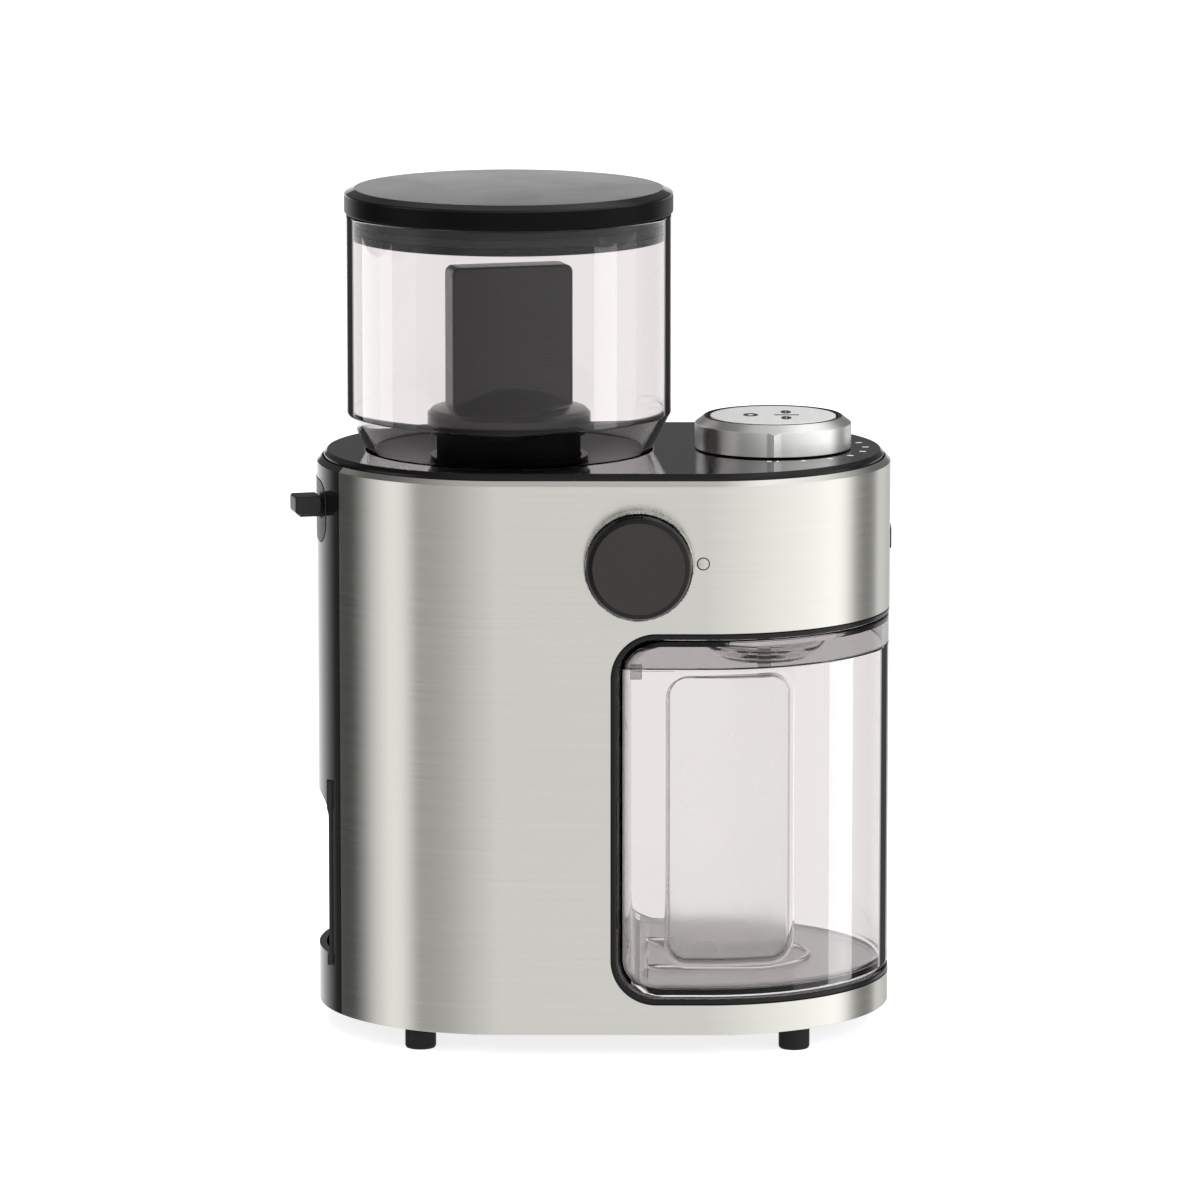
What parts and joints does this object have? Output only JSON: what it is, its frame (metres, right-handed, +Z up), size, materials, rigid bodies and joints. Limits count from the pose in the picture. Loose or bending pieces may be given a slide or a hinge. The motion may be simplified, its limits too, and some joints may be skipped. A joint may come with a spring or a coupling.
{
  "type": "burr coffee grinder",
  "caption": "Electric burr coffee grinder with a bean hopper, a rotary dial, a start button and a clear container that slides out of its side.",
  "frame": {"origin": "middle of the footprint's bounding box, on the surface the feet stand on", "axes": "+X along the body towards the container's side, +Y from the start button towards the back, +Z up"},
  "size_m": [0.1988, 0.133, 0.2796],
  "materials": {
    "brushed_steel": "satin, brushed along its length",
    "dial_metal": "fine turned satin",
    "bare_metal": "machined",
    "brass": "machined",
    "armature": "laminated core with copper windings",
    "gloss_black": "polished",
    "black_plastic": "fine satin",
    "button_plastic": "soft satin",
    "key_plastic": "dark smoked, satin",
    "grey_plastic": "satin",
    "white_plastic": "natural acetal",
    "rubber": "matte",
    "board": "circuit board with parts",
    "clear_plastic": "clear polished plastic",
    "smoked_clear_plastic": "smoked clear polished plastic"
  },
  "bodies": {
    "housing": {"steel_shell": "brushed_steel", "back_cover": "gloss_black", "top_plate": "gloss_black", "base_pan": "black_plastic", "bay_floor": "grey_plastic", "bay_wall": "black_plastic", "bay_ceiling": "black_plastic", "bay_trim": "black_plastic", "selector_plate": "black_plastic", "side_plug": "black_plastic", "cord_gland": "rubber", "button_ring": "clear_plastic", "indicator_lens": "clear_plastic", "button_bracket": "black_plastic", "switch_board": "board", "control_board": "board", "dial_encoder": "black_plastic", "interlock_switch": "black_plastic", "gearbox_case": "grey_plastic", "gearbox_cover": "grey_plastic", "grind_chamber": "grey_plastic", "exit_chute": "grey_plastic", "upper_bearing": "bare_metal", "lower_bearing": "bare_metal", "idler_pin": "bare_metal", "motor_can": "bare_metal", "field_magnet": "black_plastic", "motor_top_cap": "black_plastic", "motor_cradle": "rubber", "button_spring": "bare_metal", "base_screw_1": "bare_metal", "base_screw_2": "bare_metal", "base_screw_3": "bare_metal", "base_screw_4": "bare_metal", "foot_front_left": "rubber", "foot_front_right": "rubber", "foot_rear_left": "rubber", "foot_rear_right": "rubber"},
    "hopper": {"hopper": "clear_plastic", "throat_collar": "key_plastic"},
    "hopper_key": {"hopper_key": "key_plastic"},
    "hopper_lid": {"hopper_lid": "gloss_black", "lid_seal": "rubber"},
    "burr_carrier": {"burr_carrier": "white_plastic", "upper_burr": "bare_metal", "grind_lever": "black_plastic"},
    "spindle": {"burr_spindle": "bare_metal", "lower_burr": "bare_metal", "burr_nut": "bare_metal", "sweep_plate": "grey_plastic", "main_gear": "white_plastic"},
    "idler": {"idler_gear": "white_plastic"},
    "rotor": {"motor_rotor": "armature", "motor_pinion": "brass"},
    "dial": {"dial_ring": "dial_metal"},
    "dial_cap": {"dial_cap": "dial_metal"},
    "start_button": {"start_button": "button_plastic"},
    "container": {"container": "clear_plastic", "container_lid": "smoked_clear_plastic"}
  },
  "joints": [
    {"name": "hopper_lift", "type": "slide", "parent": "housing", "child": "hopper", "axis": [0, 0, 1], "range_m": [0, 0.06]},
    {"name": "hopper_lid_lift", "type": "slide", "parent": "hopper", "child": "hopper_lid", "axis": [0, 0, 1], "range_m": [0, 0.05]},
    {"name": "hopper_key_turn", "type": "hinge", "parent": "hopper", "child": "hopper_key", "pos_m": [-0.02725, 0.0055, 0.206], "axis": [0, 0, 1], "range_deg": [0, 90]},
    {"name": "grind_adjust", "type": "hinge", "parent": "housing", "child": "burr_carrier", "pos_m": [-0.02725, 0.0055, 0.174], "axis": [0, 0, 1], "range_deg": [-27.8, 0]},
    {"name": "spindle_spin", "type": "hinge", "parent": "housing", "child": "spindle", "pos_m": [-0.02725, 0.0055, 0.14], "axis": [0, 0, 1], "continuous": true},
    {"name": "idler_spin", "type": "hinge", "parent": "housing", "child": "idler", "pos_m": [-0.04475, 0.03581, 0.13], "axis": [0, 0, 1], "continuous": true},
    {"name": "rotor_spin", "type": "hinge", "parent": "housing", "child": "rotor", "pos_m": [-0.04475, 0.01181, 0.062], "axis": [0, 0, 1], "continuous": true},
    {"name": "dial_turn", "type": "hinge", "parent": "housing", "child": "dial", "pos_m": [0.06005, 0.0055, 0.196], "axis": [0, 0, 1], "range_deg": [0, 166.5]},
    {"name": "dial_cap_press", "type": "slide", "parent": "housing", "child": "dial_cap", "axis": [0, 0, -1], "range_m": [0, 0.0012], "stiffness_N_per_m": 800, "springref_m": -0.001},
    {"name": "start_button_press", "type": "slide", "parent": "housing", "child": "start_button", "axis": [0, 1, 0], "range_m": [0, 0.0025], "stiffness_N_per_m": 600, "springref_m": -0.002, "deforming": ["button_spring"]},
    {"name": "container_slide", "type": "slide", "parent": "housing", "child": "container", "axis": [1, 0, 0], "range_m": [0, 0.11]}
  ],
  "couplings": [
    {"joint": "idler_spin", "follows": "spindle_spin", "ratio": -3},
    {"joint": "rotor_spin", "follows": "spindle_spin", "ratio": 9}
  ]
}
